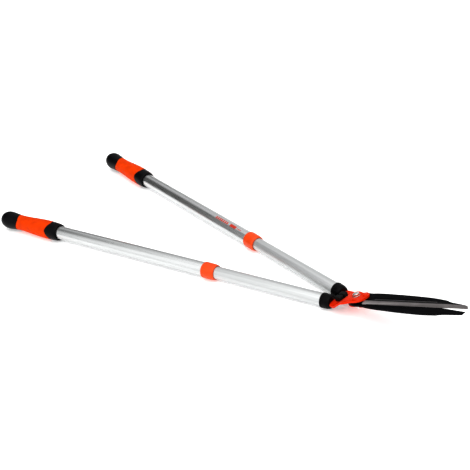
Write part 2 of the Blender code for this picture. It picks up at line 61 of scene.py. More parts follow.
# Camera, at the photograph's viewing angle
CAMERA_AT = (1.16754, -0.91311, 0.91741)
CAMERA_TURN = (59.01, 10.2809, 44.9705)  # degrees about X, Y and Z
LENS_MM = 76.6
SENSOR_MM = 36.0

# Studio sky, in discs: azimuth, elevation, inner and outer radius in degrees, and a light's level
SKY_LEVEL = 0.65
SKY_FLAGS = ((196, 18, 22, 38), (150, 5, 9, 24))  # darkened
FLAG_LEVEL = 0.1
SKY_LIGHTS = ((0, 90, 22, 42, 0.6), (242, 34, 12, 32, 0.6), (-35, 50, 20, 50, 0.7))
FLOOR_GLOW = 0.18  # a light table under the shears
FLOOR_REACH = 40.0  # metres from its middle to its edges, so that no edge comes into view

# Fineness and finish of the shapes
GAP = 0.3 * MM  # clearance between neighbouring pieces
FINE = 96  # sides of a large turned piece
SMALL = 48  # and of a small one
FILLET_STEPS = 4
FILLET_SHARE = 0.45  # the most of a side that one rounded corner takes
STRAIGHT = radians(12)  # corners that turn less than this aren't rounded
WELD = 0.002 * MM
TIP_ZONE = 1.0 * MM  # the end of a pin, where its shank is measured
SHARP_ANGLE = 38  # degrees between faces, above which their edge shows
SHARP_METAL = 25  # the same for the nut and the bolt

# Blades: the cutting edge in plan, as in the CAD model, and the fine line beside its ground bevel
EDGE_SLOPE = 0.078
EDGE_CROSSING = 167.0 * MM
LINE_FROM_EDGE = 10.6 * MM
LINE_SPAN = (36.0 * MM, 150.0 * MM)
LINE_WIDTH = 0.9 * MM
LINE_DEPTH = 0.15 * MM
BEVEL_TILT = (0.8, 0.985)  # Z of the ground bevel's normal
EDGE_TILT = 0.3  # Z of a side face's normal, at most
EDGE_HEIGHT = 0.7 * MM  # no part of the land at the cutting edge is higher than this
BLADE_ROUND = 0.22 * MM
TANG_ROUND = 0.55 * MM

# Pivot fastener, M6, and rivets
HEX_FLATS = 10.0 * MM
HEX_RIM = 0.97  # of the width across flats, where the chamfer starts
HEX_CHAMFER = radians(30)
BOLT_R = 3.0 * MM
THREAD_PITCH = 1.0 * MM
THREAD_DEPTH = 0.35 * MM
THREAD_LENGTH = 7.0 * MM
CROWN = 0.7 * MM  # height of the domed top of the bolt's head
CROWN_SHARE = 0.46  # its radius, of the width across flats
CROWN_ARC = 1.2  # radians of the dome's curve
SPRING_T = 0.8 * MM
RIVET_HEAD_H = 1.3 * MM

# Tubes, sockets, screws, collars and buffers
TUBE_WALL = 1.0 * MM
SOCKET_LENGTH = 17.0 * MM
SOCKET_RING = 4.2 * MM  # the moulded ring, ahead of the socket's rear edge
SCREW_HEAD_H = 1.0 * MM
SCREW_SEAT = 1.3 * MM  # depth of the head's seat
CROSS = (3.6 * MM, 0.8 * MM, 1.4 * MM)  # each stroke of the recess in the screw's head
COLLAR_CLEAR = 0.45 * MM  # between the collar's lip and the inner tube
BUFFER_ROUND = 2.2 * MM
GROOVES = (-3.2 * MM, 0.0, 3.2 * MM)  # in the buffer's meeting face, from its middle
GROOVE_SIZE = (1.1 * MM, 1.2 * MM)  # width, and twice the depth

# Grip outline as in the CAD model: distance behind its front rim and radius, in mm
GRIP_OUTLINE = (
    (0.0, 14.5),
    (1.2, 15.3),
    (6.0, 16.3),
    (16.0, 17.0),
    (30.0, 17.3),
    (44.0, 17.2),
    (58.0, 16.6),
    (72.0, 15.8),
    (88.0, 14.9),
    (102.0, 14.5),
    (112.0, 14.7),
    (121.0, 15.4),
    (130.0, 16.3),
    (138.0, 16.9),
    (144.0, 16.6),
    (150.0, 15.0),
    (154.5, 12.5),
    (157.2, 9.4),
    (158.0, 7.0),
)
GRIP_END = GRIP_OUTLINE[-1][0]
SLEEVE_FRONT = (21.0, 28.0)  # least and most distance of the sleeve's front edge, in mm
SLEEVE_REAR = (108.0, 115.0)
SLEEVE_FRONT_MEAN = sum(SLEEVE_FRONT) / 2
SLEEVE_REAR_MEAN = sum(SLEEVE_REAR) / 2
FRONT_POINT = radians(62.0)  # one of the front edge's three notches, from the top towards -Y
REAR_POINT = radians(45.0)  # one of the rear edge's two notches
POINTEDNESS = 0.97  # of the zigzags, where 1 is sharp
SLEEVE_DEPTH = 1.5  # mm
SLEEVE_PROUD = 0.2  # mm
RECESS_DEPTH = 1.8  # mm
STILL_FROM = 144.0  # mm behind the rim, where the zigzags no longer move the outline

# Print on the left outer tube: each mark's distance behind the collar, length and width, in mm
PRINT_DASHES = tuple((57.0 + 5.6 * step, 3.6, 5.0) for step in range(7))
PRINT_MARKS = ((17.0, 12.0, 1.2), (32.0, 18.0, 5.6), *PRINT_DASHES)
PRINT_TURN = radians(-16.0)  # its middle, from the top towards -Y
PRINT_LIFT = 0.005 * MM  # off the tube
PRINT_HEIGHT = 0.04 * MM
PRINT_STEPS = 8  # across a mark


# ---------------------------------------------------------------- frames and measures


def axes_frame(origin, z_axis, x_hint):
    """A frame at origin whose Z is z_axis and whose X is as near x_hint as it can be."""
    z = Vector(z_axis).normalized()
    hint = Vector(x_hint)
    x = (hint - hint.dot(z) * z).normalized()
    turn = Matrix((x, z.cross(x), z)).transposed().to_4x4()
    return Matrix.Translation(Vector(origin)) @ turn


def handle_frame(side):
    twist = JOINTS[f"{side}_collar_twist"]
    return axes_frame(twist["pos_m"], -Vector(twist["axis"]), (0.0, 0.0, 1.0))


def blade_frame():
    pivot = JOINTS["blade_pivot"]
    return axes_frame(pivot["pos_m"], -Vector(pivot["axis"]), (1.0, 0.0, 0.0))


HANDLES = {side: handle_frame(side) for side in SIDES}
BLADES = blade_frame()


def local_points(node, local):
    """A CAD node's points, as a local frame sees them."""
    back = local.inverted()
    return [back @ vert.co for vert in frame["nodes"][node].data.vertices]


def extent(node, local):
    """Lowest and highest corner of a CAD node in a local frame."""
    points = local_points(node, local)
    return Vector(map(min, zip(*points))), Vector(map(max, zip(*points)))


def outer_radius(node, local):
    """Greatest distance of a CAD node's points from a local frame's Z axis."""
    return max(hypot(point.x, point.y) for point in local_points(node, local))


def tip_radius(node, local):
    """Radius of a CAD node about a local frame's Z axis, at its low end."""
    points = local_points(node, local)
    tip = min(point.z for point in points)
    return max(hypot(point.x, point.y) for point in points if point.z < tip + TIP_ZONE)


def stations(low, high, count):
    """Count + 1 evenly spaced values from low to high."""
    return [low + (high - low) * index / count for index in range(count + 1)]


# ---------------------------------------------------------------- shapes


def rounded(outline, radius):
    """The closed outline with its sharp corners rounded, except those on the axis."""
    made = []
    count = len(outline)
    for index, point in enumerate(outline):
        here = Vector(point)
        before = Vector(outline[index - 1]) - here
        after = Vector(outline[(index + 1) % count]) - here
        turn = pi - before.angle(after)
        if here.y < 0.01 * MM or turn < STRAIGHT:
            made.append(point)
            continue
        shorter = min(before.length, after.length)
        reach = min(radius * tan(turn / 2), FILLET_SHARE * shorter)
        start = here + before.normalized() * reach
        end = here + after.normalized() * reach
        for step in range(FILLET_STEPS + 1):
            share = step / FILLET_STEPS
            mixed = start * (1 - share) ** 2 + here * 2 * share * (1 - share) + end * share**2
            made.append(tuple(mixed))
    return made


def sharpen(obj, degrees):
    """Smooth shading, but for edges whose faces turn more than this."""
    obj.data.shade_smooth()
    obj.data.set_sharp_from_angle(angle=radians(degrees))


def mesh_object(name, shape, local):
    """An object in a local frame, from a bmesh that is used up."""
    bmesh.ops.recalc_face_normals(shape, faces=shape.faces)
    mesh = bpy.data.meshes.new(name)
    shape.to_mesh(mesh)
    shape.free()
    obj = bpy.data.objects.new(name, mesh)
    sharpen(obj, SHARP_ANGLE)
    bpy.context.scene.collection.objects.link(obj)
    obj.matrix_world = local
    return obj


def lathe(name, profile, local, steps, shift=None):
    """A closed outline of (along, radius) points turned about the local Z axis.

    shift(along, radius, turn) may move each point as it goes round.
    """
    shape = bmesh.new()
    rings = []
    for along, radius in profile:
        if radius < 0.001 * MM:
            rings.append([shape.verts.new((0.0, 0.0, along))])
            continue
        ring = []
        for step in range(steps):
            turn = 2 * pi * step / steps
            z, r = shift(along, radius, turn) if shift else (along, radius)
            ring.append(shape.verts.new((r * cos(turn), r * sin(turn), z)))
        rings.append(ring)
    for first, second in zip(rings, rings[1:] + rings[:1]):
        if len(first) == 1 and len(second) == 1:
            continue
        for step in range(steps):
            after = (step + 1) % steps
            if len(first) == 1:
                corners = (first[0], second[after], second[step])
            elif len(second) == 1:
                corners = (first[step], first[after], second[0])
            else:
                corners = (first[step], first[after], second[after], second[step])
            shape.faces.new(corners)
    return mesh_object(name, shape, local)


def prism(name, sides, radius, low, high, local):
    """A straight prism or rod along the local Z axis."""
    shape = bmesh.new()
    bmesh.ops.create_cone(
        shape,
        cap_ends=True,
        segments=sides,
        radius1=radius,
        radius2=radius,
        depth=high - low,
        matrix=Matrix.Translation((0.0, 0.0, (low + high) / 2)),
    )
    return mesh_object(name, shape, local)


def box_shape(name, size, placing, local):
    """A box of this size, placed by a matrix in the local frame."""
    shape = bmesh.new()
    bmesh.ops.create_cube(shape, size=1.0, matrix=placing @ Matrix.Diagonal((*size, 1.0)))
    return mesh_object(name, shape, local)


def apply_modifiers(obj):
    """The object keeps the shape that its modifiers gave it."""
    bpy.context.view_layer.update()
    evaluated = obj.evaluated_get(bpy.context.evaluated_depsgraph_get())
    mesh = bpy.data.meshes.new_from_object(evaluated)
    obj.modifiers.clear()
    obj.data = mesh
    return obj


def combine(obj, other, operation="DIFFERENCE"):
    """Cuts, joins or intersects with another object, which is used up."""
    modifier = obj.modifiers.new(operation.title(), "BOOLEAN")
    modifier.operation = operation
    modifier.object = other
    modifier.solver = "EXACT"
    apply_modifiers(obj)
    bpy.data.objects.remove(other)
    return obj


def soften(obj, width, segments=3, angle=40):
    """Rounds the edges whose faces turn more than an angle in degrees."""
    modifier = obj.modifiers.new("Bevel", "BEVEL")
    modifier.width = width
    modifier.segments = segments
    modifier.limit_method = "ANGLE"
    modifier.angle_limit = radians(angle)
    modifier.harden_normals = True
    return apply_modifiers(obj)


def copy_of(node, name, local):
    """A CAD node's own shape as a new piece, in a local frame, with its flat faces joined."""
    shape = bmesh.new()
    shape.from_mesh(frame["nodes"][node].data)
    bmesh.ops.remove_doubles(shape, verts=shape.verts, dist=WELD)
    bmesh.ops.transform(shape, matrix=local.inverted(), verts=shape.verts)
    bmesh.ops.dissolve_limit(
        shape, angle_limit=radians(0.6), verts=shape.verts, edges=shape.edges
    )
    return mesh_object(name, shape, local)


def stand_in(obj, node, paint):
    """This piece shows in place of a CAD node: same body, same finish."""
    if not obj.data.materials:
        obj.data.materials.append(paint)
    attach(obj, BODY_OF[node])
    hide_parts(node)
    return obj


# ---------------------------------------------------------------- materials


class Paint:
    """A Principled material whose nodes read the piece's own coordinates, in metres."""

    def __init__(self, name, colour, roughness, metallic=0.0, **settings):
        self.material = bpy.data.materials.new(name)
        self.material.use_nodes = True
        self.nodes = self.material.node_tree.nodes
        self.links = self.material.node_tree.links
        self.shader = self.nodes["Principled BSDF"]
        self.colour = colour
        self.shader.inputs["Base Color"].default_value = (*colour, 1.0)
        self.shader.inputs["Roughness"].default_value = roughness
        self.shader.inputs["Metallic"].default_value = metallic
        for key, value in settings.items():
            self.shader.inputs[key.replace("_", " ")].default_value = value
        self.position = self.nodes.new("ShaderNodeTexCoord").outputs["Object"]
        self.normal = None

    def noise(self, size, stretch=(1.0, 1.0, 1.0), detail=3.0, roughness=0.5):
        """Noise whose grains are about size metres across, longer along the stretched axes."""
        mapping = self.nodes.new("ShaderNodeMapping")
        mapping.inputs["Scale"].default_value = [1.0 / (size * part) for part in stretch]
        texture = self.nodes.new("ShaderNodeTexNoise")
        texture.inputs["Scale"].default_value = 1.0
        texture.inputs["Detail"].default_value = detail
        texture.inputs["Roughness"].default_value = roughness
        self.links.new(self.position, mapping.inputs["Vector"])
        self.links.new(mapping.outputs["Vector"], texture.inputs["Vector"])
        return texture.outputs["Fac"]

    def spread(self, value, low, high):
        """Noise gathers round its middle, so that part of it is spread over low to high."""
        node = self.nodes.new("ShaderNodeMapRange")
        node.inputs["From Min"].default_value = 0.3
        node.inputs["From Max"].default_value = 0.7
        node.inputs["To Min"].default_value = low
        node.inputs["To Max"].default_value = high
        self.links.new(value, node.inputs["Value"])
        return node.outputs["Result"]

    def shade(self, value, darker, lighter):
        """The base colour varies between these multiples of itself."""
        node = self.nodes.new("ShaderNodeMix")
        node.data_type = "RGBA"
        node.inputs["A"].default_value = (*[part * darker for part in self.colour], 1.0)
        node.inputs["B"].default_value = (*[min(1, part * lighter) for part in self.colour], 1.0)
        self.links.new(self.spread(value, 0.0, 1.0), node.inputs["Factor"])
        self.links.new(node.outputs["Result"], self.shader.inputs["Base Color"])
        return self

    def polish(self, value, low, high):
        """The roughness varies from low to high."""
        self.links.new(self.spread(value, low, high), self.shader.inputs["Roughness"])
        return self

    def bump(self, value, depth, strength=1.0):
        """Relief of this depth in metres, on top of any relief already there."""
        node = self.nodes.new("ShaderNodeBump")
        node.inputs["Strength"].default_value = strength
        node.inputs["Distance"].default_value = depth
        self.links.new(value, node.inputs["Height"])
        if self.normal:
            self.links.new(self.normal, node.inputs["Normal"])
        self.normal = node.outputs["Normal"]
        self.links.new(self.normal, self.shader.inputs["Normal"])
        return self


def aluminium(name, low, high):
    """Drawn and anodised tube: fine lines along it, a soft sheen across, roughness from low to high."""
    paint = Paint(name, (0.60, 0.61, 0.61), low, 1.0)
    lines = paint.noise(0.35 * MM, (1.0, 1.0, 120.0), 4.0, 0.6)
    streaks = paint.noise(2.2 * MM, (1.0, 1.0, 70.0), 3.0, 0.6)
    paint.shade(streaks, 0.9, 1.06).polish(lines, low, high)
    return paint.bump(streaks, 0.05 * MM, 0.5).bump(lines, 0.006 * MM).material


def black_plastic():
    paint = Paint("plastic_moulded_black", (0.003, 0.003, 0.004), 0.36, Specular_IOR_Level=0.13)
    grain = paint.noise(0.5 * MM, detail=2.0)
    cloud = paint.noise(9 * MM)
    return paint.shade(cloud, 0.8, 1.3).polish(cloud, 0.34, 0.48).bump(grain, 0.02 * MM).material


def collar_plastic():
    paint = Paint("plastic_moulded_orange", (0.68, 0.068, 0.001), 0.4, Specular_IOR_Level=0.4)
    grain = paint.noise(0.6 * MM, detail=2.0)
    cloud = paint.noise(8 * MM)
    return paint.shade(cloud, 0.92, 1.06).polish(cloud, 0.33, 0.46).bump(grain, 0.015 * MM).material


def grip_rubber():
    paint = Paint("rubber_soft_orange", (0.66, 0.060, 0.0005), 0.62, Specular_IOR_Level=0.1)
    stipple = paint.noise(0.7 * MM, detail=1.0)
    cloud = paint.noise(12 * MM)
    return paint.shade(cloud, 0.86, 1.08).polish(cloud, 0.55, 0.7).bump(stipple, 0.09 * MM).material


def tang_paint():
    paint = Paint("powder_coat_orange", (0.67, 0.032, 0.001), 0.4, Specular_IOR_Level=0.16)
    peel = paint.noise(1.2 * MM, detail=2.0)
    cloud = paint.noise(6 * MM)
    return paint.shade(cloud, 0.9, 1.05).polish(cloud, 0.3, 0.42).bump(peel, 0.03 * MM).material


def blade_coat():
    paint = Paint("blade_coat_black", (0.003, 0.003, 0.004), 0.42, Specular_IOR_Level=0.05)
    lines = paint.noise(0.5 * MM, (60.0, 1.0, 1.0), 4.0)
    cloud = paint.noise(16 * MM, (3.0, 1.0, 1.0))
    return paint.shade(cloud, 0.7, 1.5).polish(lines, 0.28, 0.46).bump(lines, 0.01 * MM).material


def ground_steel(name, colour, low, high):
    """Steel ground across its cutting edge."""
    paint = Paint(name, colour, 0.4, 1.0)
    marks = paint.noise(0.22 * MM, (1.0, 60.0, 60.0), 3.0, 0.6)
    cloud = paint.noise(20 * MM)
    return paint.shade(cloud, 0.85, 1.1).polish(marks, low, high).bump(marks, 0.008 * MM).material


def zinc():
    paint = Paint("zinc_plate", (0.80, 0.79, 0.77), 0.26, 1.0)
    cloud = paint.noise(2.5 * MM, detail=2.0)
    grain = paint.noise(0.5 * MM, detail=1.0)
    return paint.shade(cloud, 0.93, 1.05).polish(cloud, 0.2, 0.3).bump(grain, 0.002 * MM).material


def black_rubber():
    paint = Paint("rubber_black_matt", (0.008, 0.008, 0.008), 0.72, Specular_IOR_Level=0.3)
    grain = paint.noise(0.4 * MM, detail=2.0)
    return paint.shade(grain, 0.8, 1.3).polish(grain, 0.66, 0.8).bump(grain, 0.03 * MM).material


def dark_nylon():
    paint = Paint("nylon_dark", (0.03, 0.03, 0.032), 0.5)
    grain = paint.noise(0.8 * MM, detail=2.0)
    return paint.shade(grain, 0.85, 1.2).polish(grain, 0.44, 0.58).bump(grain, 0.01 * MM).material


def printed_ink():
    paint = Paint("printed_orange", (0.46, 0.05, 0.03), 0.5, Specular_IOR_Level=0.2)
    speckle = paint.noise(0.25 * MM, detail=2.0)
    return paint.shade(speckle, 0.85, 1.15).polish(speckle, 0.4, 0.55).material


# ---------------------------------------------------------------- handles


def smooth_radius(behind):
    """Grip radius in mm at a distance in mm behind its rim, on a smooth line through the outline."""
    last = len(GRIP_OUTLINE) - 1
    index = next((i for i in range(last) if behind <= GRIP_OUTLINE[i + 1][0]), last - 1)
    (a, low), (b, high) = GRIP_OUTLINE[index], GRIP_OUTLINE[index + 1]
    share = min(1.0, max(0.0, (behind - a) / (b - a)))
    before = GRIP_OUTLINE[max(0, index - 1)]
    after = GRIP_OUTLINE[min(last, index + 2)]
    slope_low = (high - before[1]) / (b - before[0]) * (b - a)
    slope_high = (after[1] - low) / (after[0] - a) * (b - a)
    square, cube = share**2, share**3
    return (
        (2 * cube - 3 * square + 1) * low
        + (cube - 2 * square + share) * slope_low
        + (3 * square - 2 * cube) * high
        + (cube - square) * slope_high
    )


def zigzag(turn):
    """A softened triangular wave: 1 at 0 and 0 at half a turn."""
    return 0.5 + asin(POINTEDNESS * cos(turn)) / (2 * asin(POINTEDNESS))


def sleeve_edges(turn):
    """Where the sleeve's two edges lie at this turn from the top towards -Y, in mm."""
    least, most = SLEEVE_FRONT
    front = least + (most - least) * zigzag(3 * (turn - FRONT_POINT))
    least, most = SLEEVE_REAR
    rear = most - (most - least) * zigzag(2 * (turn - REAR_POINT))
    return front, rear


def waved(rim):
    """For lathe: moves a grip's points so that the sleeve's mean edges follow their zigzags.

    Each point keeps its depth under the outline. The bore is deeper than the recess, and stays.
    """
    front_mean, rear_mean = SLEEVE_FRONT_MEAN, SLEEVE_REAR_MEAN

    def shift(along, radius, turn):
        behind = (along - rim) / MM
        depth = smooth_radius(behind) - radius / MM
        if depth > RECESS_DEPTH + 0.1:
            return along, radius
        front, rear = sleeve_edges(-turn)
        if behind <= front_mean:
            moved = behind * front / front_mean
        elif behind <= rear_mean:
            share = (behind - front_mean) / (rear_mean - front_mean)
            moved = front + (rear - front) * share
        elif behind <= STILL_FROM:
            share = (behind - rear_mean) / (STILL_FROM - rear_mean)
            moved = rear + (STILL_FROM - rear) * share
        else:
            moved = behind
        return rim + moved * MM, (smooth_radius(moved) - depth) * MM

    return shift


def under_outline(rim, points):
    """A lathe profile from distances behind the rim and depths under the outline, both in mm."""
    return [(rim + behind * MM, (smooth_radius(behind) - depth) * MM) for behind, depth in points]


def grip_core(side, paints):
    """The black core, with its rim, the recess for the sleeve, and the domed end."""
    node = f"{side}_grip_core"
    tube_node = f"{side}_outer_tube"
    local = HANDLES[side]
    rim = extent(node, local)[0].z
    end = extent(node, local)[1].z
    bore = outer_radius(tube_node, local) + GAP
    bottom = extent(tube_node, local)[1].z + GAP
    front, rear = SLEEVE_FRONT_MEAN, SLEEVE_REAR_MEAN
    surface = [(behind, 0.0) for behind in stations(0.0, front - 0.5, 22)]
    surface += [(front - 0.15, 0.15), (front, 0.5), (front, RECESS_DEPTH)]
    surface += [(behind, RECESS_DEPTH) for behind in stations(front + 0.1, rear - 0.1, 30)]
    surface += [(rear, RECESS_DEPTH), (rear, 0.5), (rear + 0.15, 0.15)]
    surface += [(behind, 0.0) for behind in stations(rear + 0.5, STILL_FROM, 20)]
    surface += [(behind, 0.0) for behind in stations(STILL_FROM + 0.5, GRIP_END, 22)]
    inside = [(end, 0.0), (bottom, 0.0), (bottom, bore), (rim, bore)]
    profile = under_outline(rim, surface) + inside
    core = lathe(f"{side}_grip_core_moulded", profile, local, FINE, waved(rim))
    return stand_in(core, node, paints["plastic"])


def grip_sleeve(side, paints):
    """The soft sleeve, a little proud of the core, with rolled edges."""
    node = f"{side}_grip_sleeve"
    local = HANDLES[side]
    rim = extent(f"{side}_grip_core", local)[0].z
    front = SLEEVE_FRONT_MEAN + GAP / MM
    rear = SLEEVE_REAR_MEAN - GAP / MM
    roll = ((0.0, 0.55), (0.12, 0.2), (0.4, -0.05), (0.9, -SLEEVE_PROUD))
    outer = [(front + inset, depth) for inset, depth in roll]
    outer += [(behind, -SLEEVE_PROUD) for behind in stations(front + 1.6, rear - 1.6, 56)]
    outer += [(rear - inset, depth) for inset, depth in reversed(roll)]
    inner = [(behind, SLEEVE_DEPTH) for behind in stations(rear, front, 24)]
    profile = under_outline(rim, outer + inner)
    sleeve = lathe(f"{side}_grip_sleeve_soft", profile, local, FINE, waved(rim))
    return stand_in(sleeve, node, paints["grip"])


def tube(side, which, paints):
    node = f"{side}_{which}_tube"
    local = HANDLES[side]
    low, high = extent(node, local)
    outer = outer_radius(node, local)
    inner = outer - TUBE_WALL
    profile = [(low.z, inner), (low.z, outer), (high.z, outer), (high.z, inner)]
    made = lathe(f"{node}_drawn", rounded(profile, 0.25 * MM), local, FINE)
    if which == "inner":
        combine(made, screw_hole(side))
    return stand_in(made, node, paints[which])


def screw_frame(side):
    """The socket screw's frame: +Z along the screw, out of the handle's underside."""
    local = HANDLES[side]
    low, high = extent(f"{side}_socket_screw", local)
    middle = Vector((0.0, 0.0, (low.z + high.z) / 2))
    return local @ Matrix.Translation(middle) @ Matrix.Rotation(-pi / 2, 4, "Y")


def screw_cutter(side, radius, low):
    """A rod on the screw's axis, from this height out past its head."""
    local = screw_frame(side)
    top = extent(f"{side}_socket_screw", local)[1].z
    return prism("screw_cutter", SMALL, radius, low, top + 6 * MM, local)


def screw_hole(side):
    """Cutter for the screw's hole, with the gap all round."""
    node = f"{side}_socket_screw"
    local = screw_frame(side)
    tip = extent(node, local)[0].z
    return screw_cutter(side, tip_radius(node, local) + GAP, tip - 1 * MM)


def screw_seat(side):
    """Cutter for the seat of the screw's head."""
    node = f"{side}_socket_screw"
    local = screw_frame(side)
    top = extent(node, local)[1].z
    return screw_cutter(side, outer_radius(node, local) + 0.4 * MM, top - SCREW_SEAT)


def socket(side, paints):
    """The ferrule that joins tang and tube, with a moulded ring near its rear edge."""
    node = f"{side}_socket"
    tube_node = f"{side}_inner_tube"
    local = HANDLES[side]
    low, high = extent(node, local)
    outer = outer_radius(node, local)
    tube_end = extent(tube_node, local)[0].z - GAP
    lip = outer_radius(tube_node, local) + GAP
    plug = outer_radius(tube_node, local) - TUBE_WALL - GAP
    front = low.z
    rear = front + SOCKET_LENGTH
    ring = rear - SOCKET_RING
    profile = [
        (front, 0.0),
        (front, outer - 3.0 * MM),
        (front + 1.4 * MM, outer - 1.6 * MM),
        (front + 5.0 * MM, outer - 0.5 * MM),
        (ring - 0.7 * MM, outer - 0.12 * MM),
        (ring - 0.4 * MM, outer - 0.5 * MM),
        (ring + 0.4 * MM, outer - 0.5 * MM),
        (ring + 0.7 * MM, outer),
        (rear - 0.8 * MM, outer),
        (rear, outer - 0.6 * MM),
        (rear, lip),
        (tube_end, lip),
        (tube_end, plug),
        (high.z, plug),
        (high.z, 0.0),
    ]
    made = lathe(f"{node}_moulded", rounded(profile, 0.9 * MM), local, FINE)
    combine(made, screw_hole(side))
    combine(made, screw_seat(side))
    combine(made, swollen_tang(side))
    sharpen(made, SHARP_ANGLE)
    return stand_in(made, node, paints["plastic"])


def swollen_tang(side):
    """The tang's own shape, grown by the gap, as a cutter for what it passes through."""
    shape = bmesh.new()
    shape.from_mesh(frame["nodes"][f"tang_{LEVEL[side]}"].data)
    bmesh.ops.remove_doubles(shape, verts=shape.verts, dist=WELD)
    shape.normal_update()
    grown = [vert.co + vert.normal * vert.calc_shell_factor() * GAP for vert in shape.verts]
    for vert, place in zip(shape.verts, grown):
        vert.co = place
    return mesh_object("slot", shape, Matrix.Identity(4))


def socket_screw(side, paints):
    """A pan-head screw with a cross recess."""
    node = f"{side}_socket_screw"
    local = screw_frame(side)
    low, high = extent(node, local)
    tip, top = low.z, high.z
    head = outer_radius(node, local)
    shank = tip_radius(node, local)
    seat = top - SCREW_HEAD_H
    profile = [
        (tip, 0.0),
        (tip, shank),
        (seat, shank),
        (seat, head),
        (seat + 0.45 * MM, head),
        (top - 0.15 * MM, head - 0.9 * MM),
        (top, head - 1.9 * MM),
        (top, 0.0),
    ]
    made = lathe(f"{node}_pan_head", rounded(profile, 0.25 * MM), local, SMALL)
    for degrees in (45, 135):
        crossways = local @ Matrix.Rotation(radians(degrees), 4, "Z")
        combine(made, box_shape("cross", CROSS, Matrix.Translation((0.0, 0.0, top)), crossways))
    return stand_in(made, node, paints["zinc"])


def collar(side, paints):
    """The twist-lock nut: a straight body, a cone to its front lip and a rolled rear edge."""
    node = f"{side}_collar"
    local = HANDLES[side]
    low, high = extent(node, local)
    front, rear = low.z, high.z
    outer = outer_radius(node, local)
    inner_tube = outer_radius(f"{side}_inner_tube", local)
    lip = inner_tube + COLLAR_CLEAR
    tube_bore = outer_radius(f"{side}_outer_tube", local) + GAP
    mouth = extent(f"{side}_outer_tube", local)[0].z
    collet = outer_radius(f"{side}_collet", local) + GAP
    profile = [
        (front, lip),
        (front, outer - 2.0 * MM),
        (front + 1.0 * MM, outer - 1.3 * MM),
        (front + 4.6 * MM, outer - 0.55 * MM),
        (front + 6.0 * MM, outer - 0.25 * MM),
        (rear - 4.8 * MM, outer),
        (rear - 4.4 * MM, outer - 0.35 * MM),
        (rear - 3.9 * MM, outer - 0.35 * MM),
        (rear - 3.5 * MM, outer),
        (rear - 1.2 * MM, outer - 0.1 * MM),
        (rear, outer - 0.8 * MM),
        (rear, tube_bore),
        (mouth + 2.0 * MM, tube_bore),
        (mouth, collet),
        (front + 8.2 * MM, collet),
        (front + 3.8 * MM, inner_tube + 1.5 * MM),
        (front + 3.8 * MM, lip),
    ]
    made = lathe(f"{node}_moulded", rounded(profile, 0.5 * MM), local, FINE)
    return stand_in(made, node, paints["collar"])


def buffer(side, paints):
    """The ribbed rubber block on the tang's inner edge, where the two halves meet."""
    node = f"{side}_buffer"
    low, high = extent(node, BLADES)
    size = high - low
    middle = (low + high) / 2
    meeting_face = high.y if side == "right" else low.y
    made = box_shape(f"{node}_rubber", size, Matrix.Translation(middle), BLADES)
    soften(made, BUFFER_ROUND, 5)
    for along in GROOVES:
        placing = Matrix.Translation((middle.x + along, meeting_face, middle.z))
        combine(made, box_shape("groove", (*GROOVE_SIZE, size.z), placing, BLADES))
    combine(made, swollen_tang(side))
    soften(made, 0.3 * MM, 2, 50)
    return stand_in(made, node, paints["rubber"])


def printed_marks(paints):
    """Plain marks printed on the left outer tube, behind its collar."""
    local = HANDLES["left"]
    surface = outer_radius("left_outer_tube", local) + PRINT_LIFT
    rear = extent("left_collar", local)[1].z
    for index, (start, length, width) in enumerate(PRINT_MARKS):
        half = width * MM / 2 / surface
        turns = stations(PRINT_TURN - half, PRINT_TURN + half, PRINT_STEPS)
        ends = (rear + start * MM, rear + (start + length) * MM)
        lower, upper = surface, surface + PRINT_HEIGHT
        shape = bmesh.new()
        arcs = []  # each across the tube, and in order round the mark's lengthwise section
        for radius, along in ((lower, ends[0]), (lower, ends[1]), (upper, ends[1]), (upper, ends[0])):
            arc = [(radius * cos(turn), radius * sin(turn), along) for turn in turns]
            arcs.append([shape.verts.new(point) for point in arc])
        for first, second in zip(arcs, arcs[1:] + arcs[:1]):
            for step in range(PRINT_STEPS):
                shape.faces.new((first[step], first[step + 1], second[step + 1], second[step]))
        for step in (0, -1):
            shape.faces.new([arc[step] for arc in arcs])
        mark = mesh_object(f"left_printed_mark_{index + 1}", shape, local)
        mark.data.materials.append(paints["print"])
        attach(mark, BODY_OF["left_outer_tube"])


# ---------------------------------------------------------------- head


def show_ground_steel_and_line_highlight(made, side):
    """The ground bevel and the land at the cutting edge are bare steel. The floor of the fine line beside the
    bevel takes the same steel as a painted highlight, so that the line shows light.
    """
    line_floor = extent("blade_top", BLADES)[1].z - LINE_DEPTH
    least, most = BEVEL_TILT
    for face in made.data.polygons:
        heights = [UP[side] * made.data.vertices[i].co.z for i in face.vertices]
        tilt = abs(face.normal.z)
        if least < tilt < most:
            face.material_index = 1
        # painted highlight: the floor of the fine line takes the ground steel, so that the line shows light
        elif max(abs(height - line_floor) for height in heights) < LINE_DEPTH / 10:
            face.material_index = 1
        elif tilt < EDGE_TILT and max(heights) < EDGE_HEIGHT:
            face.material_index = 2


def face_line(side):
    """Cutter for the fine line along the outer face, which keeps its distance from the ground bevel."""
    face = extent("blade_top", BLADES)[1].z
    start, end = LINE_SPAN
    middle = (start + end) / 2
    across = EDGE_SLOPE * (middle - EDGE_CROSSING) + LINE_FROM_EDGE
    place = Matrix.Translation((middle, UP[side] * across, UP[side] * face))
    turn = Matrix.Rotation(UP[side] * atan2(EDGE_SLOPE, 1.0), 4, "Z")
    return box_shape("line", (end - start, LINE_WIDTH, 2 * LINE_DEPTH), place @ turn, BLADES)


def blade(side, paints):
    node = f"blade_{LEVEL[side]}"
    made = copy_of(node, f"{node}_ground", BLADES)
    combine(made, face_line(side))
    for finish in ("blade", "ground", "edge"):
        made.data.materials.append(paints[finish])
    show_ground_steel_and_line_highlight(made, side)
    soften(made, BLADE_ROUND, 2)
    return stand_in(made, node, paints["blade"])


def tang(side, paints):
    node = f"tang_{LEVEL[side]}"
    made = copy_of(node, f"{node}_painted", BLADES)
    soften(made, TANG_ROUND, 3)
    return stand_in(made, node, paints["tang"])


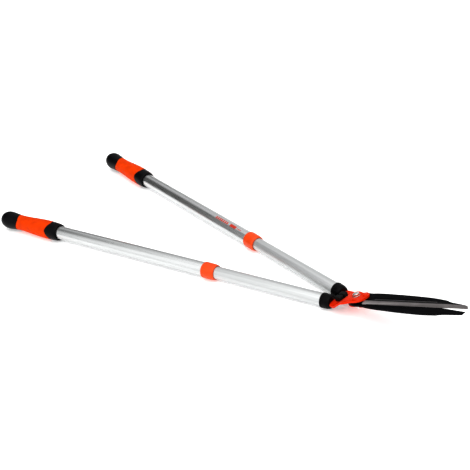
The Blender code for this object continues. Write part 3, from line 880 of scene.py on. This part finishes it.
def rivet(node, paints):
    """Domed head on the tang, and the shank through tang and blade."""
    low, high = extent(node, BLADES)
    middle = (low + high) / 2
    local = BLADES @ Matrix.Translation((middle.x, middle.y, 0.0))
    if node.startswith("tang_bottom"):
        local = local @ Matrix.Rotation(pi, 4, "X")
    bottom, top = (corner.z for corner in extent(node, local))
    head = outer_radius(node, local)
    shank = tip_radius(node, local)
    seat = top - RIVET_HEAD_H
    profile = [(bottom, 0.0), (bottom, shank), (seat, shank), (seat, head)]
    for turn in stations(radians(8), radians(82), 8):
        profile.append((seat + RIVET_HEAD_H * sin(turn), head * cos(turn)))
    profile.append((top, 0.0))
    made = lathe(f"{node}_domed", profile, local, SMALL)
    return stand_in(made, node, paints["tang"])


def hexagon(name, low, high, chamfered_below):
    """A hexagon whose corners are turned off by a cone above, and below if asked."""
    corner = HEX_FLATS / 2 / cos(pi / 6)
    rim = HEX_FLATS / 2 * HEX_RIM
    cut = (corner - rim) * tan(HEX_CHAMFER)
    clear = corner * 1.002  # just past the corners
    beyond = corner * 1.05
    blank = [(low, 0.0)]
    if chamfered_below:
        blank += [(low, rim), (low + cut, clear)]
    else:
        blank.append((low, beyond))
    blank += [(high - cut, clear), (high, rim), (high, 0.0)]
    made = prism(name, 6, corner, low, high, BLADES)
    return combine(made, lathe("blank", blank, BLADES, SMALL), "INTERSECT")


def crown(top):
    """The slightly domed top of the bolt's head."""
    radius = HEX_FLATS * CROWN_SHARE
    low = top - 2 * CROWN
    arc = []
    for turn in stations(0.0, CROWN_ARC, 10):
        fall = CROWN * (1 - cos(turn)) / (1 - cos(CROWN_ARC))
        arc.append((top - fall, radius * sin(turn) / sin(CROWN_ARC)))
    return lathe("crown", [(low, 0.0), (low, radius), *reversed(arc)], BLADES, SMALL)


def threaded_shank(low, high):
    """The bolt's shank, with thread rings over its last few millimetres."""
    root = BOLT_R - THREAD_DEPTH
    profile = [(low, 0.0), (low, root)]
    along = low
    while along + THREAD_PITCH < low + THREAD_LENGTH:
        profile += [(along + THREAD_PITCH / 2, BOLT_R), (along + THREAD_PITCH, root)]
        along += THREAD_PITCH
    profile += [(along + 0.3 * MM, BOLT_R), (high, BOLT_R), (high, 0.0)]
    return lathe("shank", profile, BLADES, SMALL)


def pivot_bolt(paints):
    low, high = extent("pivot_bolt", BLADES)
    seat = extent("bolt_washer", BLADES)[1].z + GAP
    bolt = hexagon("pivot_bolt_zinc", seat, high.z - CROWN, False)
    combine(bolt, crown(high.z), "UNION")
    combine(bolt, threaded_shank(low.z, seat + 1.5 * MM), "UNION")
    sharpen(bolt, SHARP_METAL)
    return stand_in(bolt, "pivot_bolt", paints["zinc"])


def pivot_nut(paints):
    low, high = extent("pivot_nut", BLADES)
    nut = hexagon("pivot_nut_zinc", low.z, high.z, True)
    bore = prism("bore", SMALL, BOLT_R + GAP, low.z - 1 * MM, high.z + 1 * MM, BLADES)
    combine(nut, bore)
    sharpen(nut, SHARP_METAL)
    return stand_in(nut, "pivot_nut", paints["zinc"])


def pivot_ring(node, paints):
    """The washer, the bush, and the sprung washer, which is dished."""
    low, high = extent(node, BLADES)
    inner = BOLT_R + GAP
    outer = outer_radius(node, BLADES)
    if node == "spring_washer":
        profile = [
            (high.z, inner),
            (low.z + SPRING_T, outer),
            (low.z, outer),
            (high.z - SPRING_T, inner),
        ]
    else:
        profile = [(low.z, inner), (low.z, outer), (high.z, outer), (high.z, inner)]
    made = lathe(f"{node}_zinc", rounded(profile, 0.18 * MM), BLADES, SMALL)
    return stand_in(made, node, paints["zinc"])


# ---------------------------------------------------------------- the whole


def dress_cad_node(node, paint):
    """A CAD node that stays as it is, with a finished material."""
    for slot in frame["nodes"][node].material_slots:
        slot.material = paint


def direction(azimuth, elevation):
    """Unit vector at these angles, azimuth from +X towards +Y."""
    turn, rise = radians(azimuth), radians(elevation)
    return Vector((cos(turn) * cos(rise), sin(turn) * cos(rise), sin(rise)))


def sky():
    """An even studio sky, with soft lit and dark discs that give the tubes their bands."""
    world = bpy.data.worlds.new("studio")
    world.use_nodes = True
    nodes = world.node_tree.nodes
    links = world.node_tree.links
    looking = nodes.new("ShaderNodeTexCoord").outputs["Generated"]

    def disc(azimuth, elevation, inner, outer, low, high):
        """A value that is high inside the inner angle and low beyond the outer one."""
        dot = nodes.new("ShaderNodeVectorMath")
        dot.operation = "DOT_PRODUCT"
        dot.inputs[1].default_value = direction(azimuth, elevation)
        links.new(looking, dot.inputs[0])
        fade = nodes.new("ShaderNodeMapRange")
        fade.interpolation_type = "SMOOTHSTEP"
        fade.inputs["From Min"].default_value = cos(radians(outer))
        fade.inputs["From Max"].default_value = cos(radians(inner))
        fade.inputs["To Min"].default_value = low
        fade.inputs["To Max"].default_value = high
        links.new(dot.outputs["Value"], fade.inputs["Value"])
        return fade.outputs["Result"]

    def arithmetic(operation, first, second):
        node = nodes.new("ShaderNodeMath")
        node.operation = operation
        links.new(first, node.inputs[0])
        links.new(second, node.inputs[1])
        return node.outputs["Value"]

    background = nodes["Background"]
    background.inputs["Color"].default_value = (1.0, 1.0, 1.0, 1.0)
    level = disc(*SKY_FLAGS[0], SKY_LEVEL, SKY_LEVEL * FLAG_LEVEL)
    for flag in SKY_FLAGS[1:]:
        level = arithmetic("MULTIPLY", level, disc(*flag, 1.0, FLAG_LEVEL))
    for *place, strength in SKY_LIGHTS:
        level = arithmetic("ADD", level, disc(*place, 0.0, strength))
    links.new(level, background.inputs["Strength"])
    bpy.context.scene.world = world


def studio():
    sky()
    bpy.context.scene.view_settings.view_transform = "Standard"
    bpy.context.scene.view_settings.look = "High Contrast"
    shape = bmesh.new()
    bmesh.ops.create_grid(shape, x_segments=2, y_segments=2, size=FLOOR_REACH)
    floor = mesh_object("floor", shape, Matrix.Identity(4))
    paint = Paint("floor_pale", (0.93, 0.93, 0.93), 0.9)
    paint.shade(paint.noise(0.6), 0.995, 1.005)
    paint.shader.inputs["Emission Color"].default_value = (1.0, 1.0, 1.0, 1.0)
    paint.shader.inputs["Emission Strength"].default_value = FLOOR_GLOW
    floor.data.materials.append(paint.material)


def camera():
    data = bpy.data.cameras.new("camera")
    data.sensor_width = SENSOR_MM
    data.lens = LENS_MM
    made = bpy.data.objects.new("camera", data)
    bpy.context.scene.collection.objects.link(made)
    made.location = CAMERA_AT
    made.rotation_euler = [radians(angle) for angle in CAMERA_TURN]
    bpy.context.scene.camera = made


def build():
    paints = {
        "outer": aluminium("aluminium_outer", 0.24, 0.36),
        "inner": aluminium("aluminium_inner", 0.42, 0.55),
        "plastic": black_plastic(),
        "collar": collar_plastic(),
        "grip": grip_rubber(),
        "tang": tang_paint(),
        "blade": blade_coat(),
        # this steel also paints the highlight on the floor of the blade's fine line
        "ground": ground_steel("steel_ground_and_line_highlight", (0.30, 0.28, 0.28), 0.34, 0.52),
        "edge": ground_steel("steel_edge", (0.62, 0.61, 0.60), 0.24, 0.38),
        "zinc": zinc(),
        "rubber": black_rubber(),
        "nylon": dark_nylon(),
        "print": printed_ink(),
    }
    for side in SIDES:
        grip_core(side, paints)
        grip_sleeve(side, paints)
        tube(side, "outer", paints)
        tube(side, "inner", paints)
        socket(side, paints)
        socket_screw(side, paints)
        collar(side, paints)
        buffer(side, paints)
        blade(side, paints)
        tang(side, paints)
        for node in (f"{side}_collet", f"{side}_guide_bush"):
            dress_cad_node(node, paints["nylon"])
    for node in SLOT_OF:
        if "rivet" in node:
            rivet(node, paints)
    pivot_bolt(paints)
    pivot_nut(paints)
    for node in ("bolt_washer", "spring_washer", "pivot_bush"):
        pivot_ring(node, paints)
    printed_marks(paints)


build()
studio()
camera()
bpy.context.view_layer.update()
